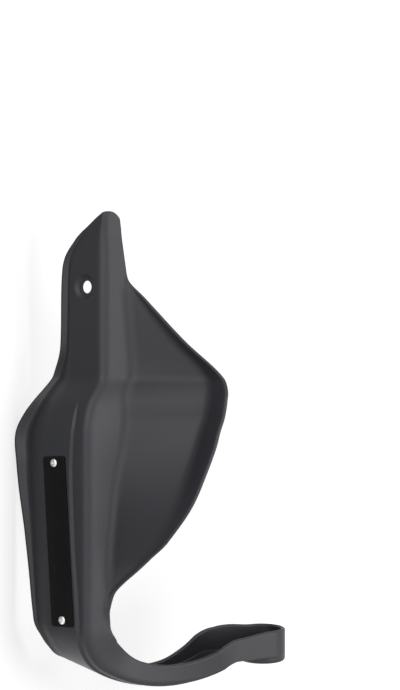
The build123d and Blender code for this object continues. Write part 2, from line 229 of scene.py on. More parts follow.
class Studio(bpy.types.PropertyGroup):
    """Camera and light."""
    elevation: angle("Elevation", "Camera above level", 38)
    camera_x: length("Camera X", "Camera along the beam", -232.3)
    camera_y: length("Camera Y", "Camera in front of the guard", -884)
    camera_z: length("Camera Z", "Camera above the bar end", 632.5)
    lens: FloatProperty(name="Lens", description="Focal length on a 36 mm side", default=76.73,
                        unit="CAMERA")
    key_watts: FloatProperty(name="Key", description="Soft box overhead", default=4.5, unit="POWER")
    front_watts: FloatProperty(name="Front", description="Soft box beyond the camera", default=6.6,
                               unit="POWER")
    ambient: share("Ambient", "Even light from all around", 0.1)


def graph(knots, run):
    """Cubic Hermite curve through (run, value) knots.

    With t from 0 to 1 between two knots a span apart, the value is
    (1 + 2t)(1 - t)^2 v0 + t^2 (3 - 2t) v1 + span (t (1 - t)^2 m0 + t^2 (t - 1) m1).
    Slopes m are central differences, and level at both ends.
    """
    at, value = np.array(knots, float).T
    slope = np.zeros_like(value)
    slope[1:-1] = (value[2:] - value[:-2]) / (at[2:] - at[:-2])
    run = np.clip(run, at[0], at[-1])
    i = np.clip(np.searchsorted(at, run, side="right") - 1, 0, len(at) - 2)
    span = at[i + 1] - at[i]
    t = (run - at[i]) / span
    ends = (1 + 2 * t) * (1 - t) ** 2 * value[i] + t * t * (3 - 2 * t) * value[i + 1]
    return ends + span * (t * (1 - t) ** 2 * slope[i] + t * t * (t - 1) * slope[i + 1])


def shares(size, *knots):
    """Knots of a graph whose values are shares of one size."""
    return [(run, part * size) for run, part in knots]


def polar(size, turn):
    return size[..., None] * np.stack([np.cos(turn), np.sin(turn)], -1)


def unit(vectors):
    return vectors / np.maximum(np.linalg.norm(vectors, axis=-1, keepdims=True), 1e-12)


def smooth(t):
    """3t^2 - 2t^3 between 0 and 1, level outside."""
    t = np.clip(t, 0, 1)
    return t * t * (3 - 2 * t)


def half_round(first, last, way, turn):
    """Half circle between two points, bulging along a way: middle + half cos(f) + way |half| sin(f)."""
    middle, half = (first + last) / 2, (first - last) / 2
    reach = np.linalg.norm(half, axis=-1, keepdims=True)
    return middle + half * np.cos(turn) + way * reach * np.sin(turn)


def soft_weights(straights, bends):
    """Weights that turn the entry, corner and leave nodes of a soft line into its points.

    A straight run is (1 - t) leave + t entry, a corner (1 - t)^2 entry + 2t(1 - t) corner + t^2 leave.
    Straights and bends give the number of steps on each.
    """
    count = len(straights) + 1
    rows = []
    for k, (straight, bend) in enumerate(zip(straights, list(bends) + [0])):
        t = np.arange(straight) / straight
        block = np.zeros((straight, 3, count))
        block[:, 2, k], block[:, 0, k + 1] = 1 - t, t
        rows.append(block)
        t = np.arange(bend) / max(bend, 1)
        block = np.zeros((bend, 3, count))
        block[:, :, k + 1] = np.stack([(1 - t) ** 2, 2 * t * (1 - t), t * t], -1)
        rows.append(block)
    last = np.zeros((1, 3, count))
    last[0, 1, -1] = 1
    return np.concatenate(rows + [last]).reshape(-1, 3 * count)


def soft_line(corners, softness, weights):
    """Points of straight runs joined by soft corners."""
    way = np.diff(corners, axis=-2)
    span = np.linalg.norm(way, axis=-1)
    way = unit(way)
    entry, leave = corners.copy(), corners.copy()
    back = np.minimum(softness, SOFT_SHARE * span[..., :-1])
    ahead = np.minimum(softness, SOFT_SHARE * span[..., 1:])
    entry[..., 1:-1, :] -= way[..., :-1, :] * back[..., None]
    leave[..., 1:-1, :] += way[..., 1:, :] * ahead[..., None]
    nodes = np.concatenate([entry, corners, leave], -2)
    return np.einsum("pn,...nc->...pc", weights, nodes)


class ShellForm:
    """The shell: a closed wall section carried along the run, its sizes read off smooth graphs.

    Steps are given along the straight runs and then around the corners. Both halves have as many from
    the middle to the face's corner, and in all, so that the ear's round end keeps that corner.
    """
    lower_steps = (10, 24, 16), (6, 4)
    upper_steps = (1, 11, 8, 15, 5), (4, 4, 6, 6)
    middle_steps = 4  # around the corner in the middle
    edge_steps = 4  # around a quarter of the free edges
    rows = 232  # along the run
    cap_steps = 6  # over the nose's edge
    ear_steps = 48  # around the ear
    halvings = 32  # of the search for the nose's outline

    def __init__(self, s):
        self.s = s
        turns = s.bend_turn, s.arm_turn, math.pi / 2 - s.bend_turn - s.arm_turn
        self.arcs = tuple(zip((s.bend_radius, s.arm_radius, s.ear_radius), turns))
        self.arc_run = sum(radius * abs(turn) for radius, turn in self.arcs)
        x, y, _ = self.walk(np.array(self.arc_run))
        self.bend_x = float(-s.boss_height - x)
        self.ear_run = float(self.arc_run + s.reach - y)
        self.climb = float(s.drop / self.climbed(np.array(self.ear_run)))
        straights = self.lower_steps[0] + self.upper_steps[0]
        bends = self.lower_steps[1] + (self.middle_steps,) + self.upper_steps[1]
        self.weights = soft_weights(straights, bends)
        lower = sum(sum(steps) for steps in self.lower_steps) + self.middle_steps // 2
        self.middle = self.edge_steps + lower
        self.columns = 2 * (len(self.weights) - 1) + 4 * self.edge_steps
        self.graphs = self.section_graphs()

    def shoulder(self, part):
        return self.s.shoulder_run + part * self.s.shoulder_length

    def section_graphs(self):
        """Knots of each section size along the run."""
        s, shoulder, bend, arc = self.s, self.shoulder, self.s.bend_run, self.arc_run
        tip, neck, crest, peak, end = s.tip_run, s.neck_run, s.crest_run, s.peak_run, s.blade_end_run
        start, channel, strip = s.blade_run, s.channel_run, s.edge_strip
        return {
            "face": [
                (tip, s.nose_face),
                *shares(s.neck_face, (tip + 16 * MM, 0.58), (tip + 30 * MM, 0.92), (neck, 1),
                        (shoulder(0), 1.03), (shoulder(0.8), 1.07)),
                *shares(s.beam_face, (crest, 1), (0.55 * crest, 0.92)),
                *shares(s.arm_width, (0, 0.96), (1.5 * bend, 1)),
            ],
            "flank": [
                *shares(s.neck_flank, (tip + 16 * MM, 0.1), (neck, 1), (shoulder(-0.2), 2)),
                *shares(s.beam_flank, (shoulder(0.17), 0.41), (shoulder(0.53), 0.63),
                        (shoulder(0.9), 0.94), (shoulder(1.13), 0.95)),
                *shares(s.bend_flank, (crest, 1), (0.75 * end, 1), (0.25 * bend, 0.88),
                        (0.6 * bend, 0.75)),
                *shares(s.low_flange, (0.95 * bend, 1.2), (channel, 0.5), (arc - 43 * MM, 0.6),
                        (arc - 22 * MM, 1.05), (arc, 1.78), (arc + 12 * MM, 1.86)),
                (self.ear_run, s.arm_flange - s.arm_lip),
            ],
            "flank_angle": shares(
                s.flank_lean, (shoulder(-0.17), 0.86), (shoulder(0.36), 1), (0.75 * end, 0.98),
                (0.25 * bend, 0.94), (0.6 * bend, 0.965), (0.95 * bend, 1.06), (channel, 0),
            ),
            "lip": [
                *shares(s.neck_lip, (tip, 0.1), (tip + 16 * MM, 0.4), (neck, 1), (shoulder(0.15), 1.14)),
                *shares(s.beam_lip, (shoulder(1.06), 1), (0.9 * crest, 0.8)),
                (0.75 * end, s.bend_lip), (1.5 * bend, s.arm_lip),
            ],
            "lip_angle": shares(-s.lip_flare, (end, 1), (0.9 * bend, 0.6), (channel, 0)),
            "shelf": [
                *shares(s.neck_shelf, (tip, 0.62), (tip + 20 * MM, 0.79), (neck, 1),
                        (start + 16 * MM, 1.2), (shoulder(0), 1.45), (shoulder(0.36), 1.48)),
                *shares(s.beam_shelf, (shoulder(0.94), 1), (0.9 * crest, 0.77), (0.63 * crest, 0.67)),
                *shares(s.bend_shelf, (end, 1.14), (0.45 * end, 0.9), (0, 1), (0.7 * bend, 1.16),
                        (1.1 * bend, 1.09)),
                *shares(s.arm_shelf, (channel, 1), (arc - 30 * MM, 0.92), (arc, 1)),
                (self.ear_run, s.arm_flange - 2 * strip),
            ],
            "shelf_angle": shares(
                s.shelf_lean, (shoulder(0), 1.2), (shoulder(1), 1), (0.5 * bend, 1), (channel, 0),
            ),
            "blade": [
                (start, 0.5 * strip),
                *shares(s.blade_height, (start + 15 * MM, 0.17), (start + 43 * MM, 0.53),
                        (start + 66 * MM, 0.89), (peak - 4 * MM, 1), (peak + 22 * MM, 0.92),
                        (0.8 * crest, 0.83), (end - 35 * MM, 0.65), (end - 22 * MM, 0.44)),
                (end, 1.6 * strip), (end + 11 * MM, strip),
            ],
            "rim": [
                (start, 0.5 * strip),
                *shares(s.rim_height, (start + 29 * MM, 0.29), (shoulder(0), 0.57), (peak - 6 * MM, 0.9),
                        (peak + 22 * MM, 1), (crest - 10 * MM, 1), (0.8 * crest, 0.76),
                        (end - 35 * MM, 0.33)),
                (end - 12 * MM, 1.6 * strip), (end + 2 * MM, strip),
            ],
            "blade_angle": [
                (start - 4 * MM, 1.2 * s.shelf_lean), (start + 14 * MM, s.blade_lean),
                (crest - 20 * MM, s.blade_lean), (2 * end, s.blade_lean_out), (end, s.blade_lean),
                (0, s.shelf_lean), (0.5 * bend, s.shelf_lean), (channel, 0),
            ],
            "rim_angle": [
                (start - 4 * MM, 1.2 * s.shelf_lean), (start + 14 * MM, s.rim_lean),
                (end - 6 * MM, s.rim_lean), (0, s.shelf_lean), (0.5 * bend, s.shelf_lean), (channel, 0),
            ],
            "step": shares(
                s.band_rise, (shoulder(0.36), 0), (shoulder(0.9), 1), (bend, 1), (2.5 * bend, 0),
            ),
            "band": [
                (tip, 0.4), (neck, 0.5), (shoulder(0.15), 0.58), (shoulder(1), 0.65),
                (0.52 * crest, 0.68), (0, 0.78), (2.5 * bend, 0.78), (arc, 0.5),
            ],
            "draft": shares(s.web_draft, (0, 0), (0.45 * bend, 0.7), (1.25 * bend, 1), (2.75 * bend, 0)),
            "nose": shares(s.nose_lift, (tip, 1), (tip + 20 * MM, 0)),
            "setback": shares(
                s.neck_setback, (shoulder(0.19), 1), (shoulder(0.29), 0.96), (shoulder(0.43), 0.68),
                (shoulder(0.6), 0.345), (shoulder(0.79), 0.13), (shoulder(1.1), 0),
            ),
        }

    def walk(self, run):
        """Plan offset from the start of the bend, and the heading, after a run along the arcs."""
        left = np.maximum(run, 0.0)
        x = y = heading = np.zeros_like(left)
        for radius, turn in self.arcs:
            signed = math.copysign(radius, turn)
            span = np.minimum(left, radius * abs(turn))
            end = heading + span / signed
            x = x + signed * (np.sin(end) - np.sin(heading))
            y = y + signed * (np.cos(heading) - np.cos(end))
            heading = end
            left = left - span
        return x + left * np.cos(heading), y + left * np.sin(heading), heading

    def climbed(self, run):
        """Run counted for the climb: p^2 / 2e while eased in, then p - e / 2."""
        past, ease = np.maximum(run - self.s.rise_start, 0.0), self.s.rise_ease
        return np.where(past < ease, past * past / (2 * ease), past - ease / 2)

    def axes(self, run):
        """Origin, inward and upward direction of the section plane at each run."""
        s = self.s
        x, y, heading = self.walk(run)
        pitch = np.arctan(self.climb * np.clip((run - s.rise_start) / s.rise_ease, 0, 1))
        setback = graph(self.graphs["setback"], run)
        origin = np.stack([self.bend_x + x + np.minimum(run, 0), y - s.reach + setback,
                           self.climb * self.climbed(run) - s.drop], -1)
        inward = np.stack([-np.sin(heading), np.cos(heading), np.zeros_like(heading)], -1)
        back = -np.sin(pitch)
        up = np.stack([back * np.cos(heading), back * np.sin(heading), np.cos(pitch)], -1)
        return origin, inward, up

    def place(self, run, section):
        """Section points (inward, up) set on their planes."""
        origin, inward, up = self.axes(run)
        return origin + section[..., :1] * inward + section[..., 1:] * up

    def corners(self, run):
        """Outer corners of the section, from the lip over the face and shelf to the rim's edge."""
        s = self.s
        size = SimpleNamespace(**{name: graph(knots, run) for name, knots in self.graphs.items()})
        top = s.arm_width / 2 + size.nose
        low = top - size.face
        band_top = low + size.band * size.face
        face_low = np.stack([size.draft, low], -1)
        flank_low = face_low + polar(size.flank, -size.flank_angle)
        lip_edge = flank_low + polar(size.lip, size.lip_angle)
        band_edge = np.stack([np.zeros_like(top), band_top], -1)
        step_foot = np.stack([size.step, band_top + s.band_rise], -1)
        face_high = np.stack([size.step, top], -1)
        shelf_back = face_high + polar(size.shelf, size.shelf_angle)
        blade_top = shelf_back + polar(size.blade, size.blade_angle)
        rim_edge = blade_top + polar(size.rim, size.rim_angle)
        return np.stack([lip_edge, flank_low, face_low, band_edge, step_foot, face_high, shelf_back,
                         blade_top, rim_edge], -2)

    def softness(self, run):
        """Size of each soft corner; those of the face and the shelf are equal at the bar-end ear."""
        s = self.s
        ear = smooth((run - s.channel_run) / (self.arc_run - s.channel_run))
        flat = np.ones_like(run)
        return np.stack([
            s.lip_softness * flat, s.face_softness + (s.ear_softness - s.face_softness) * ear,
            s.step_softness * flat, s.step_softness * flat,
            s.shelf_softness + (s.ear_softness - s.shelf_softness) * ear,
            s.blade_softness * flat, s.rim_softness * flat,
        ], -1)

    def loop(self, run):
        """Closed loop of the wall: outer line, half round, inner line and half round back.

        The inner corners are the outer ones moved by the wall w along the mitre of the normals a and b:
        c + w (a + b) / (1 + a.b). Column j lies across the wall from -j.
        """
        outer = self.corners(run)
        way = unit(np.diff(outer, axis=-2))
        normal = np.stack([way[..., 1], -way[..., 0]], -1)
        before = np.concatenate([normal[..., :1, :], normal], -2)
        after = np.concatenate([normal, normal[..., -1:, :]], -2)
        dot = np.sum(before * after, -1, keepdims=True)
        inner = outer + (before + after) * self.s.wall / (1 + dot)
        softness = self.softness(run)
        outer_line = soft_line(outer, softness, self.weights)
        inner_line = soft_line(inner, softness, self.weights)
        low = outer_line[..., :1, :], inner_line[..., :1, :], -way[..., :1, :]
        high = outer_line[..., -1:, :], inner_line[..., -1:, :], way[..., -1:, :]
        quarter = np.arange(self.edge_steps)[:, None] / self.edge_steps * math.pi / 2
        return np.concatenate([
            half_round(*low, math.pi / 2 - quarter),
            outer_line,
            half_round(*high, np.concatenate([quarter[1:], quarter + math.pi / 2])),
            inner_line[..., ::-1, :],
            half_round(*low, math.pi - quarter[1:]),
        ], -2)

    def nose_start(self):
        """Run at which each column leaves the nose's slanted and rounded outline, by bisection.

        Below the upright part by b, the outline runs back by (b + sqrt(b^2 + h^2)) / 2 over the slant's
        tangent, with h half of the round. What stands forward counts as lower by as much. Round corners
        run back by r - sqrt(r^2 - p^2).
        """
        s = self.s
        column = np.arange(self.columns)
        # the rear edge of the shelf, with most of its half round
        back = self.corners(np.array(s.tip_run))[-1, 0] + 0.75 * s.wall
        half = 0.5 * s.nose_low_round

        def rounded(past, radius):
            past = np.clip(past, 0, radius)
            return radius - np.sqrt(radius * radius - past * past)

        low = np.full(self.columns, s.tip_run)
        high = low + s.nose_length
        for _ in range(self.halvings):
            run = (low + high) / 2
            inward, up = self.loop(run)[column, column].T
            below = s.nose_low - up - np.minimum(inward, 0)
            slant = (below + np.sqrt(below ** 2 + half ** 2)) / 2 / math.tan(s.nose_slant)
            cut = slant + rounded(up - s.nose_high + s.nose_high_round, s.nose_high_round)
            cut += rounded(inward - back + s.nose_corner_round, s.nose_corner_round)
            inside = run - s.tip_run - s.nose_trim - s.wall / 2 > cut
            low, high = np.where(inside, low, run), np.where(inside, run, high)
        return high

    def body(self):
        """Grid from the nose to the bar-end axis; the nose's slant dies out along the neck."""
        s = self.s
        station = np.linspace(s.tip_run, self.ear_run, self.rows)
        fade = 1 - smooth((station - s.tip_run) / s.nose_fade)
        run = station[:, None] + fade[:, None] * (self.nose_start() - s.tip_run)
        near = int(np.count_nonzero(fade))
        column = np.arange(self.columns)
        section = np.concatenate([self.loop(run[:near])[:, column, column], self.loop(station[near:])])
        return self.place(run, section)

    def nose_cap(self, body):
        """Half round over the nose's edge, between each column and the one across the wall."""
        outer = np.arange(self.columns // 2 + 1)
        inner = -outer % self.columns
        way = unit(body[0] - body[1])
        turn = np.linspace(0, math.pi, self.cap_steps + 1)[:, None, None]
        return half_round(body[0, outer], body[0, inner], unit(way[outer] + way[inner]), turn)

    def ear_end(self):
        """Round end: the half section turned half a circle about the bolt's axis."""
        run = np.array(self.ear_run)
        section = self.loop(run)
        upper = section[self.middle:self.columns - self.middle + 1]
        lower = section[(self.middle - np.arange(len(upper))) % self.columns] * np.array([1, -1])
        t = np.linspace(0, 1, self.ear_steps + 1)[:, None, None]
        half = upper * (1 - t) + lower * t
        origin, inward, up = self.axes(run)
        radial = np.cos(math.pi * t) * up + np.sin(math.pi * t) * np.cross(inward, up)
        return origin + half[..., :1] * inward + half[..., 1:] * radial


def grid_quads(rows, columns, first=0, wrap=False):
    """Four corners of each cell of a grid of points, row by row."""
    here = np.arange(rows - 1)[:, None] * columns
    ahead = here + columns
    j = np.arange(columns if wrap else columns - 1)[None, :]
    after = (j + 1) % columns
    quads = np.stack([here + j, here + after, ahead + after, ahead + j], -1)
    return first + quads.reshape(-1, 4)


def join_grids(grids, wraps):
    """Points and faces of several grids as one list."""
    faces, first = [], 0
    for grid, wrap in zip(grids, wraps):
        faces.append(grid_quads(grid.shape[0], grid.shape[1], first, wrap))
        first += grid.shape[0] * grid.shape[1]
    return np.concatenate([grid.reshape(-1, 3) for grid in grids]), np.concatenate(faces).tolist()


def closed_object(name, points, faces):
    """A closed mesh with its seams and poles welded and its faces outward."""
    mesh = bpy.data.meshes.new(name)
    mesh.from_pydata(points.tolist(), [], faces)
    work = bmesh.new()
    work.from_mesh(mesh)
    bmesh.ops.remove_doubles(work, verts=work.verts, dist=WELD)
    bmesh.ops.dissolve_degenerate(work, edges=work.edges, dist=WELD / 4)
    bmesh.ops.recalc_face_normals(work, faces=work.faces)
    open_edges = sum(1 for edge in work.edges if not edge.is_manifold)
    work.to_mesh(mesh)
    work.free()
    if open_edges:
        raise RuntimeError(f"{name} has {open_edges} open edges")
    piece = bpy.data.objects.new(name, mesh)
    bpy.context.scene.collection.objects.link(piece)
    return piece


def cut_or_join(piece, operation, tools):
    """Boolean of a piece with disjoint tools, which are then removed."""
    for tool in tools:
        step = piece.modifiers.new(operation.title(), "BOOLEAN")
        step.operation, step.solver, step.object = operation, "MANIFOLD", tool
    bpy.context.view_layer.update()
    mesh = bpy.data.meshes.new_from_object(piece.evaluated_get(bpy.context.evaluated_depsgraph_get()))
    if not mesh.polygons:
        raise RuntimeError(f"{operation.lower()} left nothing of {piece.name}")
    piece.modifiers.clear()
    old, piece.data = piece.data, mesh
    mesh.name = piece.name
    bpy.data.meshes.remove(old)
    for tool in tools:
        bpy.data.meshes.remove(tool.data)


def local_axes(origin, side, axis):
    """Origin, and the rows side, across and axis, of a place on the shell."""
    return np.array(origin), np.array([side, np.cross(axis, side), axis])


def put(place, points):
    origin, rows = place
    return origin + points @ rows


def turned(name, place, corners, softness, steps=72):
    """Surface of revolution of a soft half section: (r cos a, r sin a, h) for each of its (r, h)."""
    corners = np.array(corners, float)
    weights = soft_weights((1,) * (len(corners) - 1), (CORNER_STEPS,) * (len(corners) - 2))
    section = soft_line(corners, np.array(softness, float), weights)
    a = np.arange(steps)[:, None] / steps * 2 * math.pi
    radius, height = section.T
    points = np.stack([radius * np.cos(a), radius * np.sin(a), height + 0 * a], -1)
    ring = np.concatenate([points, points[:1]])
    return closed_object(name, *join_grids([put(place, ring)], [False]))


def rod(name, place, radius, low, high, softness=(0, 0), steps=72):
    """Round rod from low to high along the axis of a place."""
    return turned(name, place, [(0, low), (radius, low), (radius, high), (0, high)], softness, steps)


def rounded_box(name, place, size, width, corner, levels, steps=8):
    """Prism over a rounded rectangle: centre + r (cos a, sin a) at each corner.

    Levels are (inset, height) pairs, from the back to the front.
    """
    a = (np.arange(4)[:, None] + np.linspace(0, 1, steps + 1)) * math.pi / 2
    turn = np.stack([np.cos(a), np.sin(a)], -1).reshape(-1, 2)
    sign = np.repeat(np.array([[1, 1], [-1, 1], [-1, -1], [1, -1]]), steps + 1, axis=0)
    centre = sign * (np.array([size, width]) / 2 - corner)
    inset, height = np.array(levels, float).T
    flat = centre + turn * (corner - inset[:, None, None])
    points = np.concatenate([flat, np.broadcast_to(height[:, None, None], flat.shape[:2] + (1,))], -1)
    count = len(turn)
    faces = grid_quads(len(levels), count, 0, True).tolist()
    faces += [list(range(count)), list(range((len(levels) - 1) * count, len(levels) * count))]
    return closed_object(name, put(place, points).reshape(-1, 3), faces)


class Wire:
    """A node's output as a value: each operator adds one Math node to its tree."""

    def __init__(self, paint, socket):
        self.paint = paint
        self.socket = socket

    def combine(self, operation, first, second):
        return self.paint.node("ShaderNodeMath", {"operation": operation}, {0: first, 1: second})

    def __add__(self, other):
        return self.combine("ADD", self, other)

    __radd__ = __add__

    def __sub__(self, other):
        return self.combine("SUBTRACT", self, other)

    def __rsub__(self, other):
        return self.combine("SUBTRACT", other, self)

    def __mul__(self, other):
        return self.combine("MULTIPLY", self, other)

    __rmul__ = __mul__

    def larger(self, other):
        return self.combine("MAXIMUM", self, other)


class Paint:
    """A node tree under construction."""

    def __init__(self, owner):
        owner.use_nodes = True
        self.owner = owner
        self.tree = owner.node_tree
        self.tree.nodes.clear()

    def node(self, kind, settings, inputs, output=0):
        """Adds a node of a kind, with its settings and with values or wires for its sockets."""
        node = self.tree.nodes.new(kind)
        for key, value in settings.items():
            setattr(node, key, value)
        for key, value in inputs.items():
            if isinstance(value, Wire):
                self.tree.links.new(value.socket, node.inputs[key])
            else:
                node.inputs[key].default_value = value
        return Wire(self, node.outputs[output]) if node.outputs else None

    def place(self):
        return self.node("ShaderNodeTexCoord", {}, {}, "Object")

    def rays(self, kind):
        """1 for rays of a kind, else 0."""
        return self.node("ShaderNodeLightPath", {}, {}, kind)

    def noise(self, where, scale, detail):
        return self.node("ShaderNodeTexNoise", {}, {"Vector": where, "Scale": scale, "Detail": detail})

    def ramp(self, value, start, end, low, high):
        """Smooth step from low to high while a value goes from start to end."""
        return self.node("ShaderNodeMapRange", {"interpolation_type": "SMOOTHSTEP"}, {
            "Value": value, "From Min": start, "From Max": end, "To Min": low, "To Max": high,
        })

    def blend(self, factor, first, second):
        """Colour between two: inputs 6 and 7 of a Mix node, which gives it as its output 2."""
        return self.node("ShaderNodeMix", {"data_type": "RGBA"}, {0: factor, 6: first, 7: second}, 2)

    def bump(self, strength, distance, height):
        return self.node("ShaderNodeBump", {},
                         {"Strength": strength, "Distance": distance, "Height": height})

    def surface(self, shader):
        """Ends the tree of a material, and returns the material."""
        self.node("ShaderNodeOutputMaterial", {}, {"Surface": shader})
        return self.owner

    def principled(self, inputs):
        return self.surface(self.node("ShaderNodeBsdfPrincipled", {}, inputs))


def rgba(value, gain=1):
    return (*(gain * part for part in value), 1)


def shell_plastic(finish):
    """Charcoal moulding: satin, with a fine moulded grain and a slow drift of tone."""
    paint = Paint(bpy.data.materials.new("shell_plastic"))
    where = paint.place()
    grain = paint.noise(where, scale=1 / finish.grain, detail=2)
    drift = paint.noise(where, scale=18, detail=3)
    mottle = 0.35 * grain + 0.65 * drift
    return paint.principled({
        "Base Color": paint.blend(mottle, rgba(finish.plastic), rgba(finish.plastic_light)),
        "Roughness": finish.plastic_roughness + 0.1 * (drift - 0.5) + 0.08 * (grain - 0.5),
        "Normal": paint.bump(strength=0.12, distance=0.25 * finish.grain, height=grain),
        "IOR": finish.plastic_ior,
    })


def plate_black(finish):
    """Black plate: smoother than the moulding, with faint smears in its gloss."""
    paint = Paint(bpy.data.materials.new("plate_black"))
    where = paint.place()
    smear = paint.noise(where, scale=60, detail=4)
    fine = paint.noise(where, scale=3000, detail=1)
    return paint.principled({
        "Base Color": paint.blend(smear, rgba(finish.plate, 0.8), rgba(finish.plate, 1.2)),
        "Roughness": finish.plate_roughness + 0.14 * (smear - 0.5),
        "Normal": paint.bump(strength=0.05, distance=0.05 * MM, height=fine),
        "IOR": finish.plate_ior,
    })


def rivet_aluminium(finish):
    """Bright aluminium with a slightly uneven pressed surface."""
    paint = Paint(bpy.data.materials.new("rivet_aluminium"))
    dull = paint.noise(paint.place(), scale=900, detail=3)
    return paint.principled({
        "Base Color": paint.blend(dull, rgba(finish.rivet, 0.9), rgba(finish.rivet)),
        "Roughness": finish.rivet_roughness + 0.2 * (dull - 0.5),
        "Metallic": 1,
    })


def floor_white(finish):
    """Pale floor that keeps its shadow and fades to white away from the guard.

    In reflections it glows behind the guard and beside the bend, with the larger of both glows.
    Only glossy rays see this glow: it is a painted reflection on the guard's faces and edges, and a
    painted highlight along the bend.
    """
    paint = Paint(bpy.data.materials.new("floor_white"))
    where = paint.place()
    distance = paint.node("ShaderNodeVectorMath", {"operation": "LENGTH"}, {0: where}, "Value")
    along, across = (paint.node("ShaderNodeSeparateXYZ", {}, {0: where}, axis) for axis in "XY")
    far = paint.ramp(distance, start=0.16, end=0.4, low=0.64, high=1)
    # painted reflection: a glow behind the guard, seen only by glossy rays, that brightens the guard's
    # faces and edges
    painted_reflection_behind = paint.ramp(across, start=-0.1, end=-0.03, low=0, high=0.5)
    # painted highlight: a glow beside the bend, seen only by glossy rays, that lays a bright band along
    # the bend
    painted_bend_highlight = paint.ramp(along, start=0.15, end=0.19, low=0, high=1)
    strength = paint.rays("Is Camera Ray") * far + paint.rays("Is Glossy Ray") * painted_reflection_behind.larger(painted_bend_highlight)
    diffuse = paint.node("ShaderNodeBsdfDiffuse", {}, {"Color": rgba(finish.floor)})
    glow = paint.node("ShaderNodeEmission", {}, {"Color": WHITE, "Strength": strength})
    return paint.surface(paint.node("ShaderNodeAddShader", {}, {0: diffuse, 1: glow}))


def finish_piece(piece, material, node):
    """Gives a piece its material, its shading and its body, and hides the CAD node that it replaces."""
    piece.data.materials.clear()
    piece.data.materials.append(material)
    piece.data.shade_smooth()
    piece.data.set_sharp_from_angle(angle=SHARP_TURN)
    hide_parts(node)
    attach(piece, "root")


def guard_form(scene):
    """Sizes of the guard as plain attributes, and the form of its shell."""
    values = {}
    for name in ("guard_shell", "guard_run", "guard_bolts", "guard_plate"):
        group = getattr(scene, name)
        values.update({key: getattr(group, key) for key in group.__annotations__})
    s = SimpleNamespace(**values)
    return s, ShellForm(s)


def seat_axes(form, s):
    """Plate seat: origin in its middle, side along the plate, axis out of the front face."""
    origin = (form.bend_x + s.along, s.seat_depth - s.reach, s.up - s.drop)
    return local_axes(origin, (math.cos(s.tilt), 0, math.sin(s.tilt)), (0, -1, 0))


def rivet_axes(form, s):
    """Seats of the two rivets, in the plane of the plate's seat."""
    origin, rows = seat_axes(form, s)
    return [(origin + side * s.spacing / 2 * rows[0], rows) for side in (-1, 1)]


def rivet_drills(form, s, depth):
    """Drills for both rivets, from a depth behind their seats to a wall in front."""
    radius = s.shank_radius + s.clearance
    return [rod("rivet_hole", place, radius, -depth, s.wall, steps=32) for place in rivet_axes(form, s)]


class GUARD_OT_shell(bpy.types.Operator):
    """Build the moulded shell"""
    bl_idname = "guard.shell"
    bl_label = "Build shell"

    def execute(self, context):
        s, form = guard_form(context.scene)
        body = form.body()
        grids = [body, form.nose_cap(body), form.ear_end()]
        shell = closed_object("moulded_shell", *join_grids(grids, [True, False, False]))
        bar = local_axes((0, 0, 0), (0, 1, 0), (1, 0, 0))
        neck_spot = (form.bend_x + s.neck_along, s.neck_setback - s.reach, s.neck_up - s.drop)
        neck = local_axes(neck_spot, (1, 0, 0), (0, -1, 0))
        wall, edge = s.wall, s.hole_edge
        size, width, corner = s.size + 2 * s.seat_gap, s.width + 2 * s.seat_gap, s.corner + s.seat_gap
        cup_floor = -s.boss_height - 2 * wall
        neck_back = -s.sink_depth - s.sink_floor
        sink_mouth = s.sink_radius + s.sink_depth * math.tan(s.sink_flare)
        sink_rim = sink_mouth + 6 * edge
        cut_or_join(shell, "UNION", [
            rod("boss", bar, s.boss_radius, -s.boss_height - wall / 2, 0, (0, s.boss_edge)),
            rod("neck_boss", neck, s.neck_boss_radius, neck_back, -wall / 2, (edge, 0)),
        ])
        cut_or_join(shell, "DIFFERENCE", [
            rod("cup", bar, s.boss_radius - wall, cup_floor, -wall, (0, s.boss_edge)),
            turned("sink", neck, [
                (0, -s.sink_depth), (s.sink_radius, -s.sink_depth), (sink_mouth, 0), (sink_rim, edge),
                (sink_rim, wall), (0, wall),
            ], [2 * edge, 3 * edge, 0, 0]),
            rounded_box("seat", seat_axes(form, s), size, width, corner, [
                (0, 0), (0, s.seat_depth - edge / 2), (-edge, s.seat_depth + edge / 2), (-edge, wall),
            ]),
        ])
        cut_or_join(shell, "DIFFERENCE", [
            turned("bar_hole", bar, [
                (0, cup_floor), (s.bar_radius, cup_floor), (s.bar_radius, -edge),
                (s.bar_radius + 2 * edge, edge), (0, edge),
            ], [0, edge, 0]),
            turned("neck_hole", neck, [
                (0, neck_back - wall), (s.neck_radius, neck_back - wall),
                (s.neck_radius, -s.sink_depth - edge),
                (s.neck_radius + 2 * edge, edge - s.sink_depth), (0, edge - s.sink_depth),
            ], [0, edge, 0]),
            *rivet_drills(form, s, 2 * wall),
        ])
        finish_piece(shell, shell_plastic(context.scene.guard_finish), "guard_shell")
        return {"FINISHED"}


class GUARD_OT_plate(bpy.types.Operator):
    """Build the blank plate"""
    bl_idname = "guard.plate"
    bl_label = "Build plate"

    def execute(self, context):
        s, form = guard_form(context.scene)
        top = s.thickness
        halfway = 0.3 * s.edge  # inset halfway round the quarter circle of the front edge
        levels = [(s.edge, 0), (0, s.edge), (0, top - s.edge), (halfway, top - halfway), (s.edge, top)]
        plate = rounded_box("blank_plate", seat_axes(form, s), s.size, s.width, s.corner, levels)
        cut_or_join(plate, "DIFFERENCE", rivet_drills(form, s, s.wall))
        finish_piece(plate, plate_black(context.scene.guard_finish), "badge_plate")
        return {"FINISHED"}


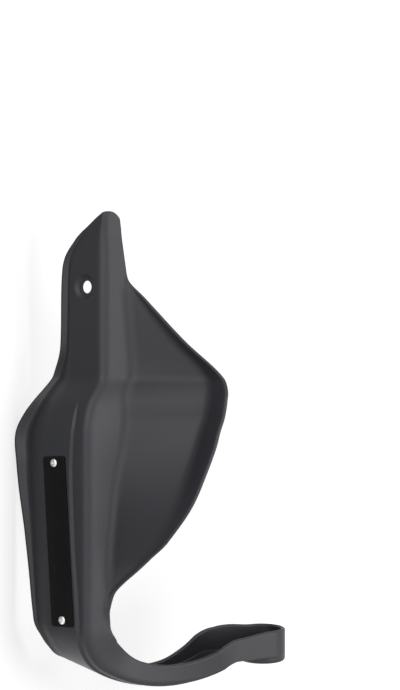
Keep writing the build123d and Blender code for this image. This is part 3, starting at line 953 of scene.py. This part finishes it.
class GUARD_OT_rivets(bpy.types.Operator):
    """Build the two blind rivets"""
    bl_idname = "guard.rivets"
    bl_label = "Build rivets"

    def execute(self, context):
        s, form = guard_form(context.scene)
        dome = s.thickness + s.head_height
        tail = s.seat_depth - s.wall - s.clearance
        end = tail - s.bulb_length
        section = [
            (0, dome - s.bore_depth), (s.bore_radius, dome - s.bore_depth), (s.bore_radius, dome),
            (0.8 * s.head_radius, s.thickness + 0.72 * s.head_height), (s.head_radius, s.thickness),
            (s.shank_radius, s.thickness), (s.shank_radius, tail), (s.bulb_radius, tail),
            (s.bulb_radius, tail - 0.6 * s.bulb_length), (0.4 * s.bulb_radius, end), (0, end),
        ]
        # one for each corner between the ends
        softness = np.array([0.1, 0.2, 0.9, 0.15, 0, 0, 0.3, 0.8, 0.4]) * MM
        seats = rivet_axes(form, s)
        pair, other = (turned("rivet", seat, section, softness, steps=48) for seat in seats)
        cut_or_join(pair, "UNION", [other])
        pair.name = pair.data.name = "rivet_pair"
        metal = rivet_aluminium(context.scene.guard_finish)
        finish_piece(pair, metal, "plate_rivets")
        return {"FINISHED"}


class GUARD_OT_stage(bpy.types.Operator):
    """Build the floor, the light and the camera"""
    bl_idname = "guard.stage"
    bl_label = "Build stage"

    def execute(self, context):
        scene = context.scene
        studio = scene.guard_studio
        low, high = (np.array(corner) for corner in cad_bounds)
        middle = (low + high) / 2
        extent = np.linspace(-FLOOR_REACH, FLOOR_REACH, FLOOR_POINTS)
        x, y = np.meshgrid(extent, extent)
        ground = np.stack([x, y, 0 * x], -1).reshape(-1, 3)
        mesh = bpy.data.meshes.new("floor")
        mesh.from_pydata(ground.tolist(), [], grid_quads(FLOOR_POINTS, FLOOR_POINTS).tolist())
        mesh.materials.append(floor_white(scene.guard_finish))
        floor = bpy.data.objects.new("floor", mesh)
        floor.location = middle[0], middle[1], low[2]
        scene.collection.objects.link(floor)
        self.lamp("key", studio.key_watts, middle, place=(0, 0.14, 1), width=0.9, depth=0.6)
        self.lamp("front", studio.front_watts, middle, place=(-0.55, -1.05, 0.62), width=1.6, depth=1)
        world = scene.world or bpy.data.worlds.new("studio")
        scene.world = world
        paint = Paint(world)
        shown = paint.rays("Is Camera Ray") + paint.rays("Is Glossy Ray")
        strength = studio.ambient + (1 - studio.ambient) * shown
        sky = paint.node("ShaderNodeBackground", {}, {"Color": WHITE, "Strength": strength})
        paint.node("ShaderNodeOutputWorld", {}, {"Surface": sky})
        scene.view_settings.view_transform = "Standard"
        camera = bpy.data.cameras.new("camera")
        camera.lens = studio.lens
        eye = bpy.data.objects.new("camera", camera)
        scene.collection.objects.link(eye)
        rise, fall = math.sin(studio.elevation), math.cos(studio.elevation)
        turn = Matrix(((0, -1, 0), (rise, 0, -fall), (fall, 0, rise)))
        spot = Vector((studio.camera_x, studio.camera_y, studio.camera_z))
        eye.matrix_world = Matrix.Translation(spot) @ turn.to_4x4()
        scene.camera = eye
        return {"FINISHED"}

    def lamp(self, name, watts, middle, place, width, depth):
        """Soft box at a place from the guard's middle, turned to it."""
        light = bpy.data.lights.new(name, "AREA")
        light.shape = "RECTANGLE"
        light.energy = watts
        light.size = width
        light.size_y = depth
        box = bpy.data.objects.new(name, light)
        box.location = Vector(middle) + Vector(place)
        box.rotation_euler = Vector(place).to_track_quat("Z", "Y").to_euler()
        bpy.context.scene.collection.objects.link(box)


class GUARD_PT_panel(bpy.types.Panel):
    """Sizes, colours and build steps of the hand guard"""
    bl_idname = "GUARD_PT_panel"
    bl_label = "Hand guard"
    bl_space_type = "VIEW_3D"
    bl_region_type = "UI"
    bl_category = "Hand guard"

    def draw(self, context):
        for step in steps:
            self.layout.operator(step.bl_idname)
        for name, group in groups.items():
            box = self.layout.box()
            box.label(text=group.__doc__)
            for key in group.__annotations__:
                box.prop(getattr(context.scene, name), key)


groups = {
    "guard_shell": ShellSizes,
    "guard_run": ShellRun,
    "guard_bolts": BoltSizes,
    "guard_plate": PlateSizes,
    "guard_finish": Finish,
    "guard_studio": Studio,
}
steps = (GUARD_OT_shell, GUARD_OT_plate, GUARD_OT_rivets, GUARD_OT_stage)


def register():
    for name, group in groups.items():
        bpy.utils.register_class(group)
        setattr(bpy.types.Scene, name, PointerProperty(type=group))
    for kind in (*steps, GUARD_PT_panel):
        bpy.utils.register_class(kind)


def unregister():
    for kind in (GUARD_PT_panel, *reversed(steps)):
        bpy.utils.unregister_class(kind)
    for name, group in reversed(groups.items()):
        delattr(bpy.types.Scene, name)
        bpy.utils.unregister_class(group)


def main():
    register()
    bpy.ops.guard.shell()
    bpy.ops.guard.plate()
    bpy.ops.guard.rivets()
    bpy.ops.guard.stage()


if __name__ == "__main__":
    main()
